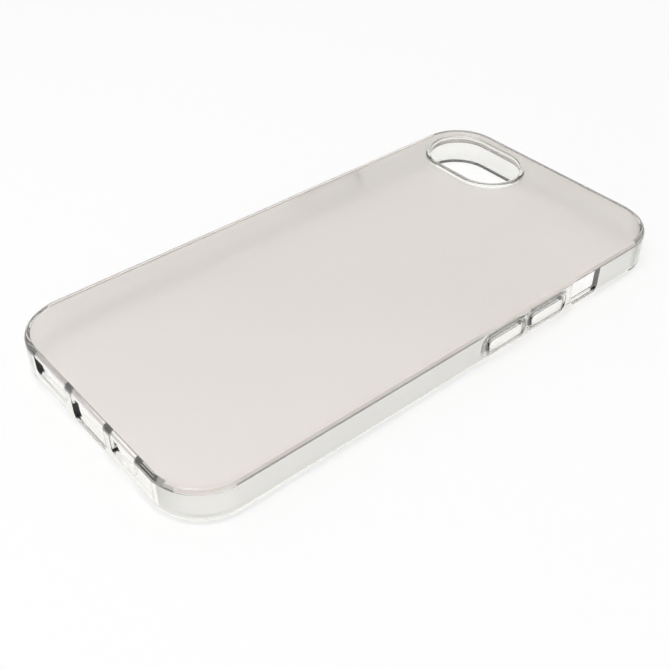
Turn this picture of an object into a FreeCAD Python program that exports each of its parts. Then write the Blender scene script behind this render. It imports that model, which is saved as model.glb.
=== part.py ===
import FreeCAD, Part

# Clear phone case: a hard clear back panel bonded to a soft clear bumper frame.
# Millimetres. The open side faces down at z = 0 and the back faces up. +Y points to the
# camera end and +X to the volume flank. The origin is at the middle of the base.

import os

from FreeCAD import Vector

# --- the phone that the case is made for ---
phone_length = 146.7
phone_width = 71.5
phone_depth = 7.8
phone_corner_radius = 11.3
phone_button_proud = 0.45     # how far its side buttons stand out of its flank

# --- fits ---
phone_clearance = 0.15        # between phone and pocket, on each side
bond_gap = 0.02               # between bonded faces that are curved
slide_clearance = 0.05        # round a button where it passes through its web
pusher_clearance = 0.10       # between a button's inner end and the phone's button

# --- shell ---
wall = 1.4
lip_height = 1.0
lip_overlap = 1.2             # how far the lip reaches in over the edge of the screen
lip_edge_radius = 0.3
back_thickness = 1.05
back_edge_radius = 1.3
front_edge_radius = 1.6

# --- tongue on the frame, in a groove under the panel's edge ---
tongue_thickness = 0.6
tongue_height = 0.6

# --- camera window, a slot with round ends along X, and the raised ring in it ---
window_radius = 9.0
window_spacing = 10.4         # between the centres of its round ends
window_inset_x = 4.5          # from the pocket's power side to the window's edge
window_inset_y = 4.3          # from the pocket's camera end to the window's edge
ring_neck = 0.5               # thickness of the ring inside the panel
ring_flange = 1.2             # width of the ring on the panel's outer face
ring_height = 1.0
ring_inner_radius = 0.3
ring_outer_radius = 0.6

# --- buttons; an inset is measured from the pocket's camera end ---
volume_button_length = 12.0
volume_button_gap = 2.5
volume_pair_inset = 52.25     # to the middle of the gap between the two
power_button_length = 19.0
power_button_inset = 50.0     # to its centre
button_centre_z = 5.1
button_height = 4.0
button_proud = 0.75           # past the wall's outer face
button_corner_radius = 1.2
button_edge_radius = 0.5
web_width = 0.8               # thin wall round a button, which bends when it is pressed
web_thickness = 0.45
web_inset = 0.3               # from the wall's outer face in to the web's

# --- raised pods that the webs are set in ---
pod_rim = 0.5                 # along a button's long sides, outside the web
pod_end = 1.3                 # past the outermost webs
pod_proud = 0.35
pod_edge_radius = 0.3

# --- cut-outs; each is open up to the panel ---
port_width = 13.2             # charging port, at the middle of the end wall
port_lower_edge = 1.9
slot_lower_edge = 3.9
slot_post = 2.9               # wall left between the port and the slot on each side
speaker_slot_width = 13.4
microphone_slot_width = 9.3
switch_width = 10.1
switch_lower_edge = 1.9
switch_inset = 30.25          # to its centre
cutout_corner_radius = 1.5

# --- worked out from the sizes above ---
pocket_length = phone_length + 2 * phone_clearance
pocket_width = phone_width + 2 * phone_clearance
pocket_radius = phone_corner_radius + phone_clearance
pocket_roof = lip_height + phone_depth + phone_clearance
back_face = pocket_roof + back_thickness
seam = back_face - back_edge_radius
tongue_top = seam + tongue_height
flank_face = pocket_width / 2 + wall
end_face = pocket_length / 2 + wall
camera_end = pocket_length / 2
window_x = window_inset_x + window_radius + window_spacing / 2 - pocket_width / 2
window_y = camera_end - window_inset_y - window_radius
volume_step = (volume_button_length + volume_button_gap) / 2
volume_pair = camera_end - volume_pair_inset
pusher_end = phone_width / 2 + phone_button_proud + pusher_clearance
above = back_face + 2 * ring_height   # clear of the whole case, for prisms that cut through it
below = -ring_height
cut_start = -2 * wall                 # a cut through a wall, from inside the pocket
cut_end = pod_proud + wall            # to outside the pods, from the wall's outer face
tolerance = 1e-6

# A button's flank, centre along Y and length.
buttons = {
    "volume_up": ("volume flank", volume_pair + volume_step, volume_button_length),
    "volume_down": ("volume flank", volume_pair - volume_step, volume_button_length),
    "power": ("power flank", camera_end - power_button_inset, power_button_length),
}

# A pod's flank, centre along Y and the length of what it holds.
pods = (
    ("volume flank", volume_pair, 2 * volume_step + volume_button_length),
    ("power flank", camera_end - power_button_inset, power_button_length),
)

# A cut-out's wall, centre along it, width and lower edge.
slot_start = port_width / 2 + slot_post
cutouts = (
    ("port end", 0.0, port_width, port_lower_edge),
    ("port end", -slot_start - speaker_slot_width / 2, speaker_slot_width, slot_lower_edge),
    ("port end", slot_start + microphone_slot_width / 2, microphone_slot_width, slot_lower_edge),
    ("volume flank", camera_end - switch_inset, switch_width, switch_lower_edge),
)

# Turn about Z that brings a feature made for the +X wall to each wall, the distance of the
# wall's outer face, and the sign of a position along it.
walls = {
    "volume flank": (0, flank_face, 1),
    "power flank": (180, flank_face, -1),
    "port end": (-90, end_face, 1),
}


def outline(size_x, size_y, radius):
    """Wire of a rectangle with round corners in the XY plane, centred on the origin."""
    x = size_x / 2
    y = size_y / 2
    inner_x = x - radius
    inner_y = y - radius
    reach = radius * 0.5 ** 0.5
    arcs = (
        ((x, inner_y), (inner_x + reach, inner_y + reach), (inner_x, y)),
        ((-inner_x, y), (-inner_x - reach, inner_y + reach), (-x, inner_y)),
        ((-x, -inner_y), (-inner_x - reach, -inner_y - reach), (-inner_x, -y)),
        ((inner_x, -y), (inner_x + reach, -inner_y - reach), (x, -inner_y)),
    )
    edges = []
    for index, (start, middle, end) in enumerate(arcs):
        edges.append(Part.Arc(Vector(*start), Vector(*middle), Vector(*end)).toShape())
        following = Vector(*arcs[(index + 1) % len(arcs)][0])
        if Vector(*end).distanceToPoint(following) > tolerance:
            edges.append(Part.LineSegment(Vector(*end), following).toShape())
    return Part.Wire(edges)


def prism(size_x, size_y, radius, low, high, centre_x=0.0, centre_y=0.0):
    """Upright prism of the round-cornered outline, from z = low to z = high."""
    face = Part.Face(outline(size_x, size_y, radius))
    face.translate(Vector(centre_x, centre_y, low))
    return face.extrude(Vector(0, 0, high - low))


def rounded(solid, level, radius, zone=None):
    """The solid with its flat edges at z = level rounded: all of them, or those inside zone."""
    chosen = []
    for edge in solid.Edges:
        points = [vertex.Point for vertex in edge.Vertexes] + [edge.CenterOfMass]
        flat = all(abs(point.z - level) < tolerance for point in points)
        if flat and (zone is None or all(zone.isInside(point, tolerance, True) for point in points)):
            chosen.append(edge)
    return solid.makeFillet(radius, chosen)


def shell_prism(margin, low, high):
    """Prism of the pocket's outline grown by margin on every side."""
    size_x = pocket_width + 2 * margin
    size_y = pocket_length + 2 * margin
    return prism(size_x, size_y, pocket_radius + margin, low, high)


def window_prism(margin, low, high):
    """Prism of the camera window's outline grown by margin on every side."""
    radius = window_radius + margin
    return prism(window_spacing + 2 * radius, 2 * radius, radius, low, high, window_x, window_y)


def wall_prism(place, size, start, end, edge_radius=0.0):
    """Round-cornered prism through a wall. place is the wall, the centre along it and in z,
    and size is the length along it, the height and the corner radius. start and end are
    measured outwards from the wall's outer face, and edge_radius rounds the outer end."""
    wall_name, along, up = place
    length, height, radius = size
    turn, face, sign = walls[wall_name]
    solid = prism(length, height, radius, face + start, face + end, sign * along, up)
    if edge_radius:
        solid = rounded(solid, face + end, edge_radius)
    solid.rotate(Vector(0, 0, 0), Vector(1, 1, 1), 120)
    solid.rotate(Vector(0, 0, 0), Vector(0, 0, 1), turn)
    return solid


def button_prism(name, margin, start, end, edge_radius=0.0):
    """Prism of a button's outline grown by margin on every side."""
    flank, along, length = buttons[name]
    place = (flank, along, button_centre_z)
    size = (length + 2 * margin, button_height + 2 * margin, button_corner_radius + margin)
    return wall_prism(place, size, start, end, edge_radius)


def bumper_frame():
    """Soft frame: side walls, tongue, lip over the screen edge, pods and cut-outs."""
    solid = rounded(shell_prism(wall, 0, seam), 0, front_edge_radius)
    rim = web_width + pod_rim
    for flank, along, length in pods:
        place = (flank, along, button_centre_z)
        size = (length + 2 * (web_width + pod_end), button_height + 2 * rim, button_corner_radius + rim)
        solid = solid.fuse(wall_prism(place, size, -wall / 2, pod_proud, pod_edge_radius))
    solid = solid.common(shell_prism(2 * wall, 0, seam))
    solid = solid.fuse(shell_prism(tongue_thickness, seam - tongue_height, tongue_top))
    solid = solid.cut(shell_prism(0, lip_height, above))
    solid = solid.cut(shell_prism(-lip_overlap, below, above))
    mouth = shell_prism(-lip_overlap / 2, below, above)
    solid = rounded(solid, 0, lip_edge_radius, mouth)
    solid = rounded(solid, lip_height, lip_edge_radius, mouth)
    for wall_name, along, width, lower in cutouts:
        place = (wall_name, along, (lower + above) / 2)
        size = (width, above - lower, cutout_corner_radius)
        solid = solid.cut(wall_prism(place, size, cut_start, cut_end))
    for name in buttons:
        solid = solid.cut(button_prism(name, web_width, cut_start, cut_end))
    return solid.removeSplitter()


def back_panel():
    """Hard plate with a round outer edge, a groove for the tongue and the camera window."""
    solid = rounded(shell_prism(wall, below, back_face), back_face, back_edge_radius)
    solid = solid.common(shell_prism(2 * wall, seam, above))
    solid = solid.cut(shell_prism(tongue_thickness + bond_gap, below, tongue_top + bond_gap))
    solid = solid.fuse(shell_prism(-bond_gap, pocket_roof, back_face - bond_gap))
    solid = solid.cut(window_prism(ring_neck + bond_gap, below, above))
    return solid.removeSplitter()


def camera_ring():
    """Soft raised ring: a neck through the panel's window and a flange on its outer face."""
    crest = back_face + ring_height
    solid = rounded(window_prism(ring_flange, back_face, crest), crest, ring_outer_radius)
    solid = solid.fuse(window_prism(ring_neck, pocket_roof, back_face))
    solid = solid.cut(window_prism(0, below, above)).removeSplitter()
    rim = window_prism(ring_inner_radius, below, above)
    return rounded(solid, crest, ring_inner_radius, rim)


def button(name):
    """Button pad, which reaches in to the phone's own button."""
    return button_prism(name, 0, pusher_end - flank_face, button_proud, button_edge_radius)


def button_web(name):
    """Thin wall that joins a button to the frame all round."""
    solid = button_prism(name, web_width, -web_inset - web_thickness, -web_inset)
    return solid.cut(button_prism(name, slide_clearance, cut_start, cut_end))


os.makedirs("parts", exist_ok=True)
pieces = {
    "back_panel": back_panel(),
    "bumper_frame": bumper_frame(),
    "camera_ring": camera_ring(),
}
for name in buttons:
    pieces[name + "_button"] = button(name)
    pieces[name + "_web"] = button_web(name)
for node, shape in pieces.items():
    shape.exportStep("parts/" + node + ".step")
    print(node, len(shape.Solids), shape.isValid(), round(shape.Volume, 1))
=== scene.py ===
from math import cos, pi, radians, sin

import bmesh
import bpy
import numpy as np
from mathutils import Matrix, Vector


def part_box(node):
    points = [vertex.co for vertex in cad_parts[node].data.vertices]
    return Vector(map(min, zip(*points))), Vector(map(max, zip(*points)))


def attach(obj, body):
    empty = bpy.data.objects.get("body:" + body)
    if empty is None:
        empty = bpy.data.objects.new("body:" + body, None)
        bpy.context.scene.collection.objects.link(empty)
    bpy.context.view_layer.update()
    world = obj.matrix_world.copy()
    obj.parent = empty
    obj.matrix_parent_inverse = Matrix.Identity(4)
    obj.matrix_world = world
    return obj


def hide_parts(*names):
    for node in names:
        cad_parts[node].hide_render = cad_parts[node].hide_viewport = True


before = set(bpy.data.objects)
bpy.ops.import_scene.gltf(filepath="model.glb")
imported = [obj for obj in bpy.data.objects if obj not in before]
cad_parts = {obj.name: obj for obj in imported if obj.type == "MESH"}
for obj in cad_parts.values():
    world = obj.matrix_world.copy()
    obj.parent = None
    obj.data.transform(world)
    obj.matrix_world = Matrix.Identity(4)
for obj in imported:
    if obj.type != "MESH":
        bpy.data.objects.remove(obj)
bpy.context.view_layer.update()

mm = 0.001   # the pieces' dictionaries are in millimetres
tolerance = 1e-6   # millimetres; sizes closer than this are taken as equal


def outline(halfX, halfY, radius, cornerSteps, stops=((), (), (), ())):
    # A rectangle with round corners, anticlockwise from the lower end of the +X side. A corner is
    # centre + radius (cos a, sin a); stops are shares of the way along each straight side.
    centres = np.array([[1, -1], [1, 1], [-1, 1], [-1, -1]]) * [halfX - radius, halfY - radius]
    points = []
    normals = []
    for side in range(4):
        angle = radians(90 * side - 90) + np.linspace(0, pi / 2, cornerSteps + 1)
        around = np.column_stack([np.cos(angle), np.sin(angle)])
        share = np.reshape(np.asarray(stops[side], float), (-1, 1))
        start = centres[side] + radius * around[-1]
        end = centres[(side + 1) % 4] + radius * around[-1]
        points += [centres[side] + radius * around, start * (1 - share) + end * share]
        normals += [around, np.repeat(around[-1:], len(share), axis=0)]
    points = np.concatenate(points)
    normals = np.concatenate(normals)
    fresh = np.linalg.norm(points - np.roll(points, 1, axis=0), axis=1) > tolerance
    return points[fresh], normals[fresh]


def softProfile(corners, steps=6):
    # Corners are (margin, height, radius). Each becomes an arc that touches its two sides:
    # centre = corner + (a + b) radius / sin(half angle) / |a + b|, with a and b along the sides.
    corners = np.array(corners, float)
    profile = []
    for index, (margin, height, radius) in enumerate(corners):
        here = np.array([margin, height])
        back = corners[index - 1, :2] - here
        ahead = corners[(index + 1) % len(corners), :2] - here
        if radius == 0:
            profile.append(here[None])
            continue
        back = back / np.linalg.norm(back)
        ahead = ahead / np.linalg.norm(ahead)
        half = np.arccos(np.clip(back @ ahead, -1, 1)) / 2
        middle = (back + ahead) / np.linalg.norm(back + ahead)
        centre = here + middle * radius / sin(half)
        start = here + back * radius / np.tan(half) - centre
        end = here + ahead * radius / np.tan(half) - centre
        share = np.linspace(0, 1, steps + 1)[:, None]
        sweep = pi - 2 * half
        arc = np.sin((1 - share) * sweep) * start + np.sin(share * sweep) * end
        profile.append(centre + arc / sin(sweep))
    return np.concatenate(profile)


def same(values, wanted):
    # true where two sizes agree but for rounding
    return np.abs(values - wanted) < tolerance


def facing(normals, ranges):
    # true where an outline's normal lies in one of the ranges, in degrees anticlockwise from +X
    faces = np.degrees(np.arctan2(normals[:, 1], normals[:, 0]))
    return np.any([(faces - low) % 360 < high - low for low, high in ranges], axis=0)


def carried(points, normals, profile):
    # vertex = outline point + margin x outward normal, at the profile's height
    margins, heights = np.asarray(profile).T
    flat = points[:, None] + margins[None, :, None] * normals[:, None]
    return np.dstack([flat, np.broadcast_to(heights, flat.shape[:2])])


def closedGrid(grid, closeAcross=True):
    # quads over a grid of vertices that closes on itself along its rows, and across them if asked
    rows, columns = grid.shape[:2]
    index = np.arange(rows * columns).reshape(rows, columns)
    right = np.roll(index, -1, axis=0)
    if closeAcross:
        above = np.roll(index, -1, axis=1)
        corner = np.roll(right, -1, axis=1)
        return np.stack([index, right, corner, above], axis=-1).reshape(-1, 4)
    return np.stack([index[:, :-1], right[:, :-1], right[:, 1:], index[:, 1:]], axis=-1).reshape(-1, 4)


def endCaps(rows, columns):
    # the two faces that close a grid whose columns run from end to end
    ends = np.arange(rows) * columns
    return [ends[::-1].tolist(), (ends + columns - 1).tolist()]


def solidMesh(name, vertices, quads, caps=()):
    # A closed mesh from vertices in millimetres. If its volume, the sum of a . (b x c) / 6 over
    # triangles of each face, comes out negative, all faces are turned over.
    vertices = np.reshape(vertices, (-1, 3)) * mm
    faces = [list(face) for face in quads.tolist()] + [list(face) for face in caps]
    a, b, c, d = (vertices[quads[:, corner]] for corner in range(4))
    volume = np.einsum("ij,ij->", a, np.cross(b, c)) + np.einsum("ij,ij->", a, np.cross(c, d))
    if volume < 0:
        faces = [face[::-1] for face in faces]
    mesh = bpy.data.meshes.new(name)
    mesh.from_pydata(vertices.tolist(), [], faces)
    mesh.validate()
    return mesh


def addPiece(name, mesh, body, nodes, material=None):
    piece = bpy.data.objects.new(name, mesh)
    bpy.context.scene.collection.objects.link(piece)
    mesh.shade_smooth()
    mesh.set_sharp_from_angle(angle=radians(32))   # rounded edges shade smoothly, cut ones stay crisp
    even = piece.modifiers.new("even shading over flats", "WEIGHTED_NORMAL")
    even.mode = "FACE_AREA"
    even.keep_sharp = True
    if material:
        mesh.materials.append(material)
    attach(piece, body)
    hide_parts(*nodes)
    return piece


def linearColour(hexText):
    # sRGB hex to linear: ((c + 0.055) / 1.055) ^ 2.4 above 0.04045, c / 12.92 below
    srgb = np.array([int(hexText[at:at + 2], 16) / 255 for at in (1, 3, 5)])
    linear = np.where(srgb > 0.04045, ((srgb + 0.055) / 1.055) ** 2.4, srgb / 12.92)
    return (*linear, 1.0)


def addNode(tree, kind, settings=(), links=()):
    # settings are (name, value): a socket if the node has one of that name, else a property;
    # links are (input, node, output)
    node = tree.nodes.new(kind)
    for name, value in settings:
        if isinstance(name, int) or name in node.inputs:
            node.inputs[name].default_value = value
        else:
            setattr(node, name, value)
    for socket, source, output in links:
        tree.links.new(source.outputs[output], node.inputs[socket])
    return node


def clearPlastic(name, values):
    # Moulded plastic: light goes through it by the share "clear", and the rest scatters. Its gloss
    # wanders a little where it touched the steel (fine grain), and its surface dips and swells
    # slightly as it shrank (long waves).
    material = bpy.data.materials.new(name)
    material.use_nodes = True
    tree = material.node_tree
    tree.nodes.clear()
    place = addNode(tree, "ShaderNodeTexCoord")
    grain = addNode(tree, "ShaderNodeTexNoise",
                    [("Scale", 1 / (values["grainSize"] * mm)), ("Detail", 3.0)],
                    [("Vector", place, "Object")])
    gloss = addNode(tree, "ShaderNodeMapRange",
                    [("From Min", 0.35), ("From Max", 0.65),
                     ("To Min", values["roughness"][0]), ("To Max", values["roughness"][1])],
                    [("Value", grain, "Fac")])
    waves = addNode(tree, "ShaderNodeTexNoise",
                    [("Scale", 1 / (values["waveLength"] * mm)), ("Detail", 1.0)],
                    [("Vector", place, "Object")])
    swell = addNode(tree, "ShaderNodeBump",
                    [("Strength", 1.0), ("Distance", values["waveHeight"] * mm)],
                    [("Height", waves, "Fac")])
    plastic = addNode(tree, "ShaderNodeBsdfPrincipled",
                      [("Base Color", linearColour(values["tint"])), ("IOR", values["ior"]),
                       ("Transmission Weight", values["clear"])],
                      [("Roughness", gloss, "Result"), ("Normal", swell, "Normal")])
    addNode(tree, "ShaderNodeOutputMaterial", links=[("Surface", plastic, "BSDF")])
    return material


# The hard plate, from a polished mould: clear, faintly warm, with crisp reflections.
polycarbonateValues = {
    "clear": 1.0,
    "tint": "#FDF9F6",
    "ior": 1.585,
    "roughness": (0.01, 0.03),
    "grainSize": 0.9,      # drawn coarser than the steel's own grain, which is too fine to show
    "waveLength": 14.0,    # sink over the plate's broad, even face
    "waveHeight": 0.01,
}
# The soft parts, moulded round the plate in polished steel: clear and neutral, with tighter ripples.
tpuValues = {
    "clear": 1.0,
    "tint": "#FBFBF8",
    "ior": 1.50,
    "roughness": (0.0, 0.03),
    "grainSize": 0.7,
    "waveLength": 6.0,     # ripples about as wide as the walls are high
    "waveHeight": 0.01,
}
# The plate's pocket face, micro-dotted so that a phone's back doesn't look wet against it. It makes
# the back an even pale grey.
etchedValues = {
    **polycarbonateValues,
    "clear": 0.7,
    "roughness": (0.42, 0.48),
    "waveHeight": 0.0,
}
# The inner walls, from a sand-blasted core, and the webs: pale and cloudy.
satinValues = {
    **tpuValues,
    "clear": 0.8,
    "roughness": (0.38, 0.45),
    "waveHeight": 0.0,
}
# The inner wall past the silencer switch, where the core is blasted more lightly.
hazyValues = {
    **satinValues,
    "clear": 0.9,
    "roughness": (0.30, 0.35),
}
# The plate's groove, primed for the frame to bond to: milky white, which keeps the round edge pale.
bondValues = {
    **polycarbonateValues,
    "clear": 0.0,
    "roughness": (0.30, 0.36),
    "waveHeight": 0.0,
}
# The plate's rough lower edge, where the mould shuts, tinted grey: painted shade that, seen on edge, draws
# the seam's thin dark line.
seamShadeValues = {
    **bondValues,
    "tint": "#8A8784",
}
clearPolycarbonate = clearPlastic("clearPolycarbonate", polycarbonateValues)
etchedPolycarbonate = clearPlastic("etchedPolycarbonate", etchedValues)
bondedPolycarbonate = clearPlastic("bondedPolycarbonate", bondValues)
# grey material whose colour is painted shade for the seam's dark line
seamShadePolycarbonate = clearPlastic("seamShadePolycarbonate", seamShadeValues)
clearTpu = clearPlastic("clearTpu", tpuValues)
satinTpu = clearPlastic("satinTpu", satinValues)
hazyTpu = clearPlastic("hazyTpu", hazyValues)
print("materials: polycarbonate and TPU, clear and in their duller finishes")

panelLow, panelHigh = (np.array(corner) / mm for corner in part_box("back_panel"))
ringLow, ringHigh = (np.array(corner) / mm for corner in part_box("camera_ring"))
shellValues = {
    "wall": 1.4,
    "pocketRadius": 11.45,
    "backThickness": 1.05,
    "tongueWidth": 0.6,
    "tongueHeight": 0.6,
    "seamEdge": 0.08,      # soft edge each side of the seam
    "seamGap": 0.04,       # air in the outer part of the seam, which draws it as a fine line
    "closeLength": 0.5,    # along the flank, past a pod's end, where that air closes
    "closeHeight": 0.3,    # and how far up the plate's edge the shift fades out
    # margin at which that air begins, by the way the edge faces in degrees from +X; deep in the
    # port end's corners and the corner beside the silencer switch, shallow along the flanks
    "seamAirFaces": (-180, -170, -60, -45, -12, -5, 8, 25, 70, 85, 180),
    "seamAirFrom": (1.00, 0.72, 0.72, 1.38, 1.38, 0.85, 0.85, 0.72, 0.72, 1.00, 1.00),
    "milkyRoof": [(-74, 4), (176, 190)],   # where the groove's roof shows milky, in degrees from +X
    "milkySides": [(-62, 4), (176, 190)],
    "bond": 0.01,          # bonded pieces run this far into each other, so no air shows between
    "straight": 0.999,     # a normal's share along X past which it is a flank's, not a corner's
}
wall = shellValues["wall"]
bond = shellValues["bond"]
outerX, outerY, backFace = panelHigh
seam = panelLow[2]
pocketRoof = backFace - shellValues["backThickness"]
pocketX = outerX - wall
pocketY = outerY - wall
tongueTop = seam + shellValues["tongueHeight"]


def pocketOutline(cornerSteps, stops=((), (), (), ())):
    return outline(pocketX, pocketY, shellValues["pocketRadius"], cornerSteps, stops)


ringValues = {
    "flange": 1.2,
    "neck": 0.5,
    "innerEdge": 0.3,
    "outerEdge": 0.6,
    "foot": 0.1,
    "edgeSteps": 8,
    "cornerSteps": 90,
    "air": 0.01,           # the flange lies on the panel with air between, its neck is bonded
}
windowCentre = (ringLow[:2] + ringHigh[:2]) / 2
windowRadius = (ringHigh[1] - ringLow[1]) / 2 - ringValues["flange"]
windowHalfLength = (ringHigh[0] - ringLow[0]) / 2 - ringValues["flange"]


def windowOutline(cornerSteps):
    points, normals = outline(windowHalfLength, windowRadius, windowRadius, cornerSteps)
    return points + windowCentre, normals


buttonValues = {
    "cornerRadius": 1.2,
    "outerEdge": 0.45,
    "innerEdge": 0.15,
    "crown": 0.12,         # height of the pad's middle over its rim
    "crownSteps": 12,
    "edgeSteps": 8,
    "cornerSteps": 16,
    "webWidth": 0.8,
    "webEdge": 0.08,
    "slideClearance": 0.05,
}
buttonBodies = {"volume_up": 1, "volume_down": 1, "power": -1}   # body and its flank, +X or -X
podValues = {
    "proud": 0.35,
    "rim": 0.5,
    "end": 1.3,
    "blend": 0.6,          # width of the soft step up to a pod
}


def podShape(flank):
    # centre along Y and up Z, half sizes and corner radius of the pod on a flank
    lows, highs = zip(*(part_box(body + "_web") for body, side in buttonBodies.items() if side == flank))
    low = np.min(np.array(lows), axis=0) / mm
    high = np.max(np.array(highs), axis=0) / mm
    middle = (low + high) / 2
    half = (high - low) / 2 + [0, podValues["end"], podValues["rim"]]
    radius = buttonValues["cornerRadius"] + buttonValues["webWidth"] + podValues["rim"]
    return middle[1:], half[1:], radius


panelValues = {
    "backEdge": 1.22,
    "seamMark": 0.8,       # margin where the profile turns at the seam's air before that turn is moved
    "skirt": 0.7,          # margin past which a point belongs to the plate's outer edge
    "cornerSteps": 40,
    "edgeSteps": 10,
    "fanStep": 1.5,        # degrees between the flat faces' quads, seen from the window's centre
}


def alongAngle(points, normals, angles):
    # An outline read at given polar angles about the window's centre: each coordinate is
    # interpolated over the outline's own polar angle, which only grows along a convex outline.
    own = np.arctan2(*(points - windowCentre).T[::-1]) % (2 * pi)
    order = np.argsort(own)
    read = [np.interp(angles, own[order], column[order], period=2 * pi)
            for column in (*points.T, *normals.T)]
    newNormals = np.column_stack(read[2:])
    newNormals /= np.linalg.norm(newNormals, axis=1, keepdims=True)
    return np.column_stack(read[:2]), newNormals


def seamShown(points, normals):
    # the columns along the flanks where the seam is open, and where the plate's underside gets the grey
    # painted shade: not at the corners, not over the pods
    shown = np.abs(normals[:, 0]) > shellValues["straight"]
    for flank in (1, -1):
        middle, half, _ = podShape(flank)
        reach = half[0] + shellValues["closeLength"]
        overPod = (flank * points[:, 0] > 0) & (np.abs(points[:, 1] - middle[0]) < reach)
        shown &= ~overPod
    return shown


def withSeamClosed(grid):
    # Over the pods the seam's air closes: its upper face comes down by share x (gap + bond / 2),
    # less and less up the plate's edge.
    gap = shellValues["seamGap"]
    length = shellValues["closeLength"]
    height = shellValues["closeHeight"]
    for flank in (1, -1):
        middle, half, _ = podShape(flank)
        share = np.clip((half[0] + length - np.abs(grid[..., 1] - middle[0])) / length, 0, 1)
        level = np.clip((seam + height - grid[..., 2]) / (height - gap), 0, 1)
        onSkirt = flank * grid[..., 0] > pocketX + panelValues["skirt"]
        aboveGap = onSkirt & (grid[..., 2] > seam + gap - tolerance)
        grid[..., 2] -= np.where(aboveGap, share * level * (gap + bond / 2), 0)
    return grid


def withSeamAir(grid, normals):
    # moves the inner end of the seam's air along each column's normal to the margin wanted there
    faces = np.degrees(np.arctan2(normals[:, 1], normals[:, 0]))
    wanted = np.interp(faces, shellValues["seamAirFaces"], shellValues["seamAirFrom"])
    margins = ((grid[..., :2] - grid[:, :1, :2]) * normals[:, None]).sum(axis=-1)
    margins += wall - panelValues["backEdge"]
    mark = panelValues["seamMark"]
    shift = np.where(same(margins, mark), (wanted - mark)[:, None], 0)
    grid[..., :2] += shift[..., None] * normals[:, None]
    return grid


def backPanel():
    # Profiles carried round two outlines that share their polar angles: the round edge and the
    # groove round the pocket's, the hole's wall round the window's. Flat quads join them.
    mark = panelValues["seamMark"]
    tongue = shellValues["tongueWidth"]
    airTop = seam + shellValues["seamGap"]
    outer = pocketOutline(panelValues["cornerSteps"])
    hole = windowOutline(panelValues["cornerSteps"])
    corners = np.arctan2(*(outer[0] - windowCentre).T[::-1]) % (2 * pi)
    fan = np.radians(np.arange(0, 360, panelValues["fanStep"]))
    angles = np.unique(np.concatenate([corners, fan]).round(6))
    edge = softProfile([
        (wall, backFace, panelValues["backEdge"]),
        (wall, airTop, shellValues["seamEdge"]),
        (mark, airTop, 0),
        (mark, seam - bond, 0),
        (tongue - bond, seam - bond, 0),
        (tongue - bond, tongueTop - bond, 0),
        (bond, tongueTop - bond, 0),
        (bond, pocketRoof, 0),
        (-wall, pocketRoof, 0),
        (-wall, backFace, 0),
    ], steps=panelValues["edgeSteps"])
    holeWall = [(ringValues["neck"] - bond, pocketRoof), (ringValues["neck"] - bond, backFace)]
    section = np.concatenate([edge[:-1], holeWall, edge[-1:]])
    outerPoints, outerNormals = alongAngle(*outer, angles)
    grid = np.concatenate([
        carried(outerPoints, outerNormals, edge[:-1]),
        carried(*alongAngle(*hole, angles), holeWall),
        carried(outerPoints, outerNormals, edge[-1:]),
    ], axis=1)
    grid = withSeamClosed(withSeamAir(grid, outerNormals))
    # where the groove is milky it stands clear of the tongue by one bond, so it is met before the tongue
    milkyRoof = facing(outerNormals, shellValues["milkyRoof"])[:, None]
    milkySides = facing(outerNormals, shellValues["milkySides"])[:, None]
    top = same(section[:, 1], tongueTop - bond)
    side = same(section[:, 0], tongue - bond)
    grid[..., 2] += np.where(milkyRoof & top, 2 * bond, 0)
    grid[..., :2] += np.where(milkySides & side, 2 * bond, 0)[..., None] * outerNormals[:, None]
    mesh = solidMesh("backPanel", grid, closedGrid(grid))
    for material in (clearPolycarbonate, etchedPolycarbonate, bondedPolycarbonate, seamShadePolycarbonate):
        mesh.materials.append(material)
    ahead = np.roll(section, -1, axis=0)   # each face runs from its own profile point to the next
    least = np.minimum(section, ahead)
    most = np.maximum(section, ahead)
    level = same(section[:, 1], ahead[:, 1])
    etched = level & same(section[:, 1], pocketRoof)
    grooveRoof = level & top
    grooveSides = ~level & (section[:, 0] > 0) & (most[:, 0] < tongue) & (most[:, 1] < tongueTop)
    underside = level & (least[:, 0] > mark - tolerance) & (section[:, 1] < tongueTop)
    shown = seamShown(outerPoints, outerNormals)[:, None]
    # slot 3 paints the underside's outer strip grey where the seam shows: painted shade for the seam line
    slots = etched + 2 * (milkyRoof & grooveRoof) + 2 * (milkySides & grooveSides) + 3 * (shown & underside)
    mesh.polygons.foreach_set("material_index", slots.ravel().astype(int))
    return addPiece("backPanel", mesh, "case", ["back_panel"])


backPanel()
print("back panel: round-edged plate with groove and window")


def cameraRing():
    # one profile carried round the window: a bead over the panel and a neck through its hole
    crest = ringHigh[2]
    over = backFace + ringValues["air"]
    profile = softProfile([
        (0, pocketRoof, ringValues["foot"]),
        (0, crest, ringValues["innerEdge"]),
        (ringValues["flange"], crest, ringValues["outerEdge"]),
        (ringValues["flange"], over, 0),
        (ringValues["neck"], over, 0),
        (ringValues["neck"], pocketRoof, 0),
    ], steps=ringValues["edgeSteps"])
    grid = carried(*windowOutline(ringValues["cornerSteps"]), profile)
    mesh = solidMesh("cameraRing", grid, closedGrid(grid))
    return addPiece("cameraRing", mesh, "case", ["camera_ring"], clearTpu)


cameraRing()
print("camera ring: raised rim round the window")


def onFlank(grid, flank, centre):
    # (along, up, depth) about a button's centre to (x, y, z), with depth outwards from the middle
    return np.stack([flank * grid[..., 2], grid[..., 0] + centre[1], grid[..., 1] + centre[2]], axis=-1)


def flankBox(node):
    # a node's centre, half sizes, and inner and outer depth
    low, high = (np.array(corner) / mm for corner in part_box(node))
    depths = sorted(abs(np.array([low[0], high[0]])))
    return (low + high) / 2, (high - low) / 2, depths


def pieceName(body, part):
    # volume_up and Pad make volumeUpPad
    first, *others = body.split("_")
    return first + "".join(word.capitalize() for word in others) + part


def padOutline(body, grown=0):
    # along and up, about the pad's own centre
    _, half, _ = flankBox(body + "_button")
    return outline(half[1] + grown, half[2] + grown, buttonValues["cornerRadius"] + grown,
                   buttonValues["cornerSteps"])


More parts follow.
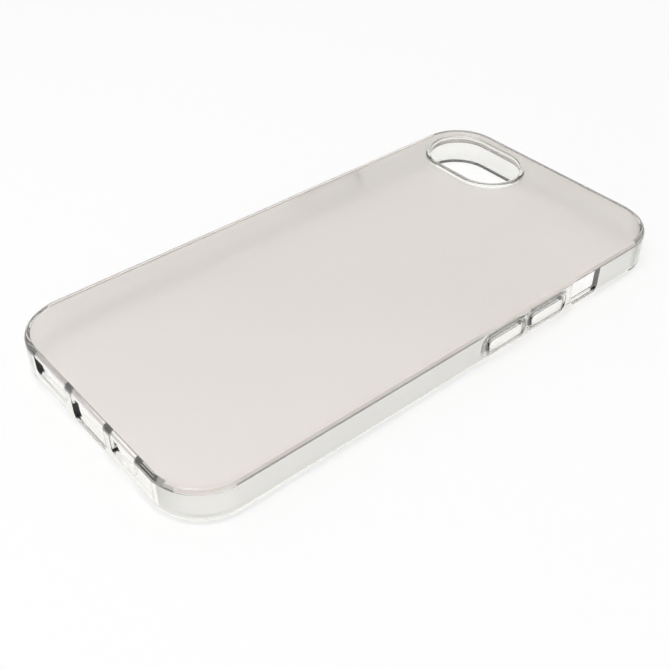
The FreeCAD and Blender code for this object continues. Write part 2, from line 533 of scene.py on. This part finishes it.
def button(body, flank):
    # The pad's outline carried from the inner end to the rim, then drawn in to the middle:
    # depth = rim + crown (1 - share^2), with share falling from 1 to 0.
    centre, half, (inner, outer) = flankBox(body + "_button")
    rim = outer - buttonValues["crown"]
    side = softProfile([
        (-half[2], inner, 0),
        (0, inner, buttonValues["innerEdge"]),
        (0, rim, buttonValues["outerEdge"]),
        (-half[2], rim, 0),
    ], steps=buttonValues["edgeSteps"])[1:-1]
    tube = carried(*padOutline(body), side)
    share = np.linspace(1, 0, buttonValues["crownSteps"])[1:-1]
    capFlat = tube[:, -1:, :2] * share[None, :, None]
    capDepth = np.broadcast_to(rim + buttonValues["crown"] * (1 - share ** 2), capFlat.shape[:2])
    grid = onFlank(np.concatenate([tube, np.dstack([capFlat, capDepth])], axis=1), flank, centre)
    rows, columns = grid.shape[:2]
    name = pieceName(body, "Pad")
    mesh = solidMesh(name, grid, closedGrid(grid, closeAcross=False), endCaps(rows, columns))
    mesh.materials.append(clearTpu)
    mesh.materials.append(satinTpu)
    satinSide = side[1:, 1] < rim - buttonValues["outerEdge"] + tolerance
    slots = np.zeros((rows, columns - 1), int)
    slots[:, :len(satinSide)] = satinSide
    mesh.polygons.foreach_set("material_index", np.append(slots, [0, 0]))   # both ends stay clear
    return addPiece(name, mesh, body, [body + "_button"])


def web(body, flank):
    # a thin ring of wall carried round the pad's outline; on the real case it flexes as the pad is pressed,
    # here it stays with the case
    centre, _, (inner, outer) = flankBox(body + "_web")
    clearance = buttonValues["slideClearance"]
    reach = buttonValues["webWidth"] + bond
    soft = buttonValues["webEdge"]
    profile = softProfile([
        (clearance, inner, soft),
        (clearance, outer, soft),
        (reach, outer, 0),
        (reach, inner, 0),
    ])
    grid = onFlank(carried(*padOutline(body), profile), flank, centre)
    name = pieceName(body, "Web")
    mesh = solidMesh(name, grid, closedGrid(grid))
    return addPiece(name, mesh, "case", [body + "_web"], satinTpu)


for body, flank in buttonBodies.items():
    button(body, flank)
    web(body, flank)
print("buttons: three pads in their webs")

frameValues = {
    "frontEdge": 1.6,
    "lipHeight": 1.0,
    "lipOverlap": 1.2,
    "lipEdge": 0.3,
    "pocketCorner": 0.25,
    "cornerSteps": 40,
    "edgeSteps": 8,
    "pitch": 0.14,                 # between the columns and rungs that draw the pods
    "podStops": (5, 8, 11),        # further columns, from each end of a pod
    "satinFaces": [(-85, 190)],    # where the inner wall is satin, in degrees from +X
    "clearPlace": (36.0, 48.0),    # along Y, clear beside the silencer switch, and hazy past that
    "cutEdgeOutside": 0.25,
    "cutEdgeInside": 0.12,
    "cutTurn": 75,                 # degrees of the quarter rounds at a cut's mouths
    "cutSteps": 6,
    "cutCornerSteps": 10,
    "cutPast": 0.5,                # how far the cutters reach past the wall
    "cutAbove": 2.0,               # and past the tongue's top
}
# wall, centre along it, width, lower edge and corner radius of each cut-out
cutouts = [
    ("port end", 0.0, 13.2, 1.9, 1.5),
    ("port end", -16.2, 13.4, 3.9, 1.5),
    ("port end", 14.15, 9.3, 3.9, 1.5),
    ("volume flank", 43.25, 10.1, 1.9, 1.5),
]


def podStops(flank):
    # shares along a flank where the wall needs columns: close together at the pod's round ends
    middle, half, radius = podShape(flank)
    ends = np.concatenate([np.arange(-0.3, radius + 0.4, frameValues["pitch"]), frameValues["podStops"]])
    along = np.concatenate([middle[0] - half[0] + ends, middle[0] + half[0] - ends])
    if flank > 0:
        along = np.append(along, frameValues["clearPlace"][1])
    along = np.sort(along)
    reach = pocketY - shellValues["pocketRadius"]
    share = (along + reach) / (2 * reach)
    return share if flank > 0 else 1 - share[::-1]


def withPods(grid):
    # The outer wall swells by proud x s^2 (3 - 2 s) inside each pod's round-cornered outline,
    # where s is the distance in from the outline over the blend, held between 0 and 1.
    for flank in (1, -1):
        middle, half, radius = podShape(flank)
        onWall = flank * grid[..., 0] > outerX - 0.01
        past = np.abs(grid[..., 1:] - middle) - (half - radius)
        outside = np.linalg.norm(np.maximum(past, 0), axis=-1) + np.minimum(past.max(axis=-1), 0) - radius
        share = np.clip(-outside / podValues["blend"], 0, 1)
        swell = podValues["proud"] * share ** 2 * (3 - 2 * share)
        grid[..., 0] += flank * np.where(onWall, swell, 0)
    return grid


def cutter(place, points, normals, face):
    # A tube through a wall whose mouth flares by quarter rounds on both faces:
    # margin = radius (1 - cos a) at depth face - radius (1 - sin a).
    turn = np.radians(np.linspace(0, frameValues["cutTurn"], frameValues["cutSteps"]))
    out = frameValues["cutEdgeOutside"]
    back = frameValues["cutEdgeInside"]
    past = frameValues["cutPast"]
    margin = np.concatenate([back * (1 - np.cos(turn))[::-1], out * (1 - np.cos(turn))])
    depth = np.concatenate([
        (face[0] + back * (1 - np.sin(turn)))[::-1],
        face[1] - out * (1 - np.sin(turn)),
    ])
    margin = np.concatenate([margin[:1], margin, margin[-1:]])
    depth = np.concatenate([[face[0] - past], depth, [face[1] + past]])
    grid = carried(points, normals, np.column_stack([margin, depth]))
    along, up, depth = np.moveaxis(grid, -1, 0)
    wallName, centreAlong, centreUp = place
    if wallName == "port end":
        grid = np.stack([along + centreAlong, -depth, up + centreUp], axis=-1)
    else:
        sign = 1 if wallName == "volume flank" else -1
        grid = np.stack([sign * depth, along + centreAlong, up + centreUp], axis=-1)
    return solidMesh("cutter", grid, closedGrid(grid, closeAcross=False), endCaps(*grid.shape[:2]))


def cutterMeshes():
    # the cut-outs run on past the seam into the panel's skirt, so they open there
    meshes = []
    high = tongueTop + frameValues["cutAbove"]
    for wallName, along, width, low, radius in cutouts:
        points, normals = outline(width / 2, (high - low) / 2, radius, frameValues["cutCornerSteps"])
        outside = outerY if wallName == "port end" else outerX
        place = (wallName, along, (high + low) / 2)
        meshes.append(cutter(place, points, normals, (outside - wall, outside)))
    for body, flank in buttonBodies.items():
        centre, _, _ = flankBox(body + "_web")
        points, normals = padOutline(body, grown=buttonValues["webWidth"])
        place = ("volume flank" if flank > 0 else "power flank", centre[1], centre[2])
        meshes.append(cutter(place, points, normals, (pocketX, outerX + podValues["proud"])))
    return meshes


def wallFinish(points, normals):
    # The inner wall's slot for each column: 0 clear at the port end and beside the silencer switch,
    # 2 hazy from there to the corner, 1 satin all round the rest.
    clearFrom, clearTo = frameValues["clearPlace"]
    pastPlace = points[:, 1] > clearTo - tolerance
    place = (points[:, 0] > 0) & (points[:, 1] > clearFrom) & ~pastPlace
    hazy = (normals[:, 0] > shellValues["straight"]) & pastPlace
    return np.where(hazy, 2, 1) * (facing(normals, frameValues["satinFaces"]) & ~place)


def fillPinholes(mesh):
    # closes the pinholes, a hundredth of a millimetre wide, that the cutting leaves behind
    shell = bmesh.new()
    shell.from_mesh(mesh)
    bmesh.ops.holes_fill(shell, edges=[edge for edge in shell.edges if edge.is_boundary])
    bmesh.ops.recalc_face_normals(shell, faces=shell.faces)
    shell.to_mesh(mesh)
    shell.free()


def bumperFrame():
    # One profile carried all round, with more columns at the pods. The cutters then open it.
    profile = softProfile([
        (wall, seam, shellValues["seamEdge"]),
        (wall, 0, frameValues["frontEdge"]),
        (-frameValues["lipOverlap"], 0, frameValues["lipEdge"]),
        (-frameValues["lipOverlap"], frameValues["lipHeight"], frameValues["lipEdge"]),
        (0, frameValues["lipHeight"], frameValues["pocketCorner"]),
        (0, tongueTop, 0),
        (shellValues["tongueWidth"], tongueTop, 0),
        (shellValues["tongueWidth"], seam, 0),
    ], steps=frameValues["edgeSteps"])
    # rungs up the outer wall's flat part, for the pods
    pitch = frameValues["pitch"]
    straight = same(profile[:, 0], wall) & (profile[:, 1] > 1)
    low, high = profile[straight, 1].min(), profile[straight, 1].max()
    rungs = np.arange(low + pitch, high - 0.1, pitch)[::-1]
    at = np.flatnonzero(straight & same(profile[:, 1], high))[0] + 1
    rungs = np.column_stack([np.full(len(rungs), wall), rungs])
    profile = np.concatenate([profile[:at], rungs, profile[at:]])
    stops = (podStops(1), (), podStops(-1), ())
    points, normals = pocketOutline(frameValues["cornerSteps"], stops)
    grid = withPods(carried(points, normals, profile))
    source = solidMesh("bumperFrame", grid, closedGrid(grid))
    for material in (clearTpu, satinTpu, hazyTpu):
        source.materials.append(material)
    innerWall = same(profile[:, 0], 0) & same(np.roll(profile[:, 0], -1), 0)
    slots = wallFinish(points, normals)[:, None] * innerWall
    source.polygons.foreach_set("material_index", slots.ravel().astype(int))
    piece = bpy.data.objects.new("bumperFrame", source)
    bpy.context.scene.collection.objects.link(piece)
    cutters = []
    for mesh in cutterMeshes():
        tool = bpy.data.objects.new("cutter", mesh)
        bpy.context.scene.collection.objects.link(tool)
        cutters.append(tool)
        cut = piece.modifiers.new("opening", "BOOLEAN")
        cut.operation = "DIFFERENCE"
        cut.solver = "EXACT"
        cut.object = tool
    ready = piece.evaluated_get(bpy.context.evaluated_depsgraph_get())
    mesh = bpy.data.meshes.new_from_object(ready)
    mesh.name = "bumperFrame"
    fillPinholes(mesh)
    for thing in [piece, *cutters]:
        bpy.data.objects.remove(thing)
    return addPiece("bumperFrame", mesh, "case", ["bumper_frame"])


bumperFrame()
print("bumper frame: wall, lip, pods and openings")

stageValues = {
    "floor": "#FFFFFF",
    "floorDrop": 0.02,
    "floorGlow": 0.6,      # share of plain white over the lit paper, which thins its shadows
    "dayLevel": 0.8,       # light from all round; the camera and clear pieces see it as white
    "lampWatts": 0.75,
    "lampSize": 0.18,      # metres
    "lampAt": (10.0, -220.0, 600.0),
    "lampAim": (20.0, -60.0, 0.0),
    "cameraAt": (150.6, -133.9, 157.4),
    "azimuth": 49.78,
    "elevation": 39.83,
    "lens": 54.62,
}


def seenRays(tree):
    # 1 for rays from the camera and for those it sends on through or off glossy pieces, else 0
    path = addNode(tree, "ShaderNodeLightPath")
    either = addNode(tree, "ShaderNodeMath", [("operation", "MAXIMUM")],
                     [(0, path, "Is Camera Ray"), (1, path, "Is Glossy Ray")])
    return addNode(tree, "ShaderNodeMath", [("operation", "MAXIMUM")],
                   [(0, either, 0), (1, path, "Is Transmission Ray")])


def floor():
    # white paper: matt, with a share of plain white where it is seen, so its shadows stay thin
    material = bpy.data.materials.new("whitePaper")
    material.use_nodes = True
    tree = material.node_tree
    tree.nodes.clear()
    paper = addNode(tree, "ShaderNodeBsdfDiffuse", [("Color", linearColour(stageValues["floor"]))])
    plain = addNode(tree, "ShaderNodeEmission", [("Strength", 1.0)])
    share = addNode(tree, "ShaderNodeMath", [("operation", "MULTIPLY"), (1, stageValues["floorGlow"])],
                    [(0, seenRays(tree), 0)])
    both = addNode(tree, "ShaderNodeMixShader", [],
                   [("Fac", share, 0), (1, paper, 0), (2, plain, 0)])
    addNode(tree, "ShaderNodeOutputMaterial", links=[("Surface", both, 0)])
    mesh = bpy.data.meshes.new("floor")
    reach = 4.0
    corners = [(-reach, -reach), (reach, -reach), (reach, reach), (-reach, reach)]
    mesh.from_pydata([(x, y, -stageValues["floorDrop"] * mm) for x, y in corners], [], [(0, 1, 2, 3)])
    mesh.materials.append(material)
    ground = bpy.data.objects.new("floor", mesh)
    bpy.context.scene.collection.objects.link(ground)


def light():
    world = bpy.data.worlds.new("studio")
    world.use_nodes = True
    tree = world.node_tree
    level = addNode(tree, "ShaderNodeMapRange", [("To Min", stageValues["dayLevel"]), ("To Max", 1.0)],
                    [("Value", seenRays(tree), 0)])
    background = tree.nodes["Background"]
    background.inputs["Color"].default_value = (1, 1, 1, 1)
    tree.links.new(level.outputs[0], background.inputs["Strength"])
    bpy.context.scene.world = world
    data = bpy.data.lights.new("softbox", "AREA")
    data.energy = stageValues["lampWatts"]
    data.size = stageValues["lampSize"]
    lamp = bpy.data.objects.new("softbox", data)
    at = Vector(stageValues["lampAt"]) * mm
    aim = Vector(stageValues["lampAim"]) * mm
    lamp.location = at
    lamp.rotation_euler = (aim - at).to_track_quat("-Z", "Y").to_euler()
    bpy.context.scene.collection.objects.link(lamp)


def camera():
    # looks back along (sin a cos e, -cos a cos e, sin e), level with the floor
    azimuth = radians(stageValues["azimuth"])
    elevation = radians(stageValues["elevation"])
    back = np.array([sin(azimuth) * cos(elevation), -cos(azimuth) * cos(elevation), sin(elevation)])
    right = np.array([cos(azimuth), sin(azimuth), 0])
    turn = np.column_stack([right, np.cross(back, right), back])
    data = bpy.data.cameras.new("camera")
    data.lens = stageValues["lens"]
    data.sensor_width = 36
    data.clip_start = 0.01
    seer = bpy.data.objects.new("camera", data)
    seer.matrix_world = Matrix(turn.tolist()).to_4x4()
    seer.location = np.array(stageValues["cameraAt"]) * mm
    bpy.context.scene.collection.objects.link(seer)
    bpy.context.scene.camera = seer


floor()
light()
camera()
scene = bpy.context.scene
scene.view_settings.view_transform = "Standard"
scene.cycles.blur_glossy = 0          # keeps light that passes through clear pieces whole
scene.cycles.max_bounces = 20         # light runs far inside a clear wall before it leaves
scene.cycles.transmission_bounces = 20
scene.cycles.glossy_bounces = 2       # light caught in an edge goes dark sooner, which draws the edges
print("stage: floor, light and camera")
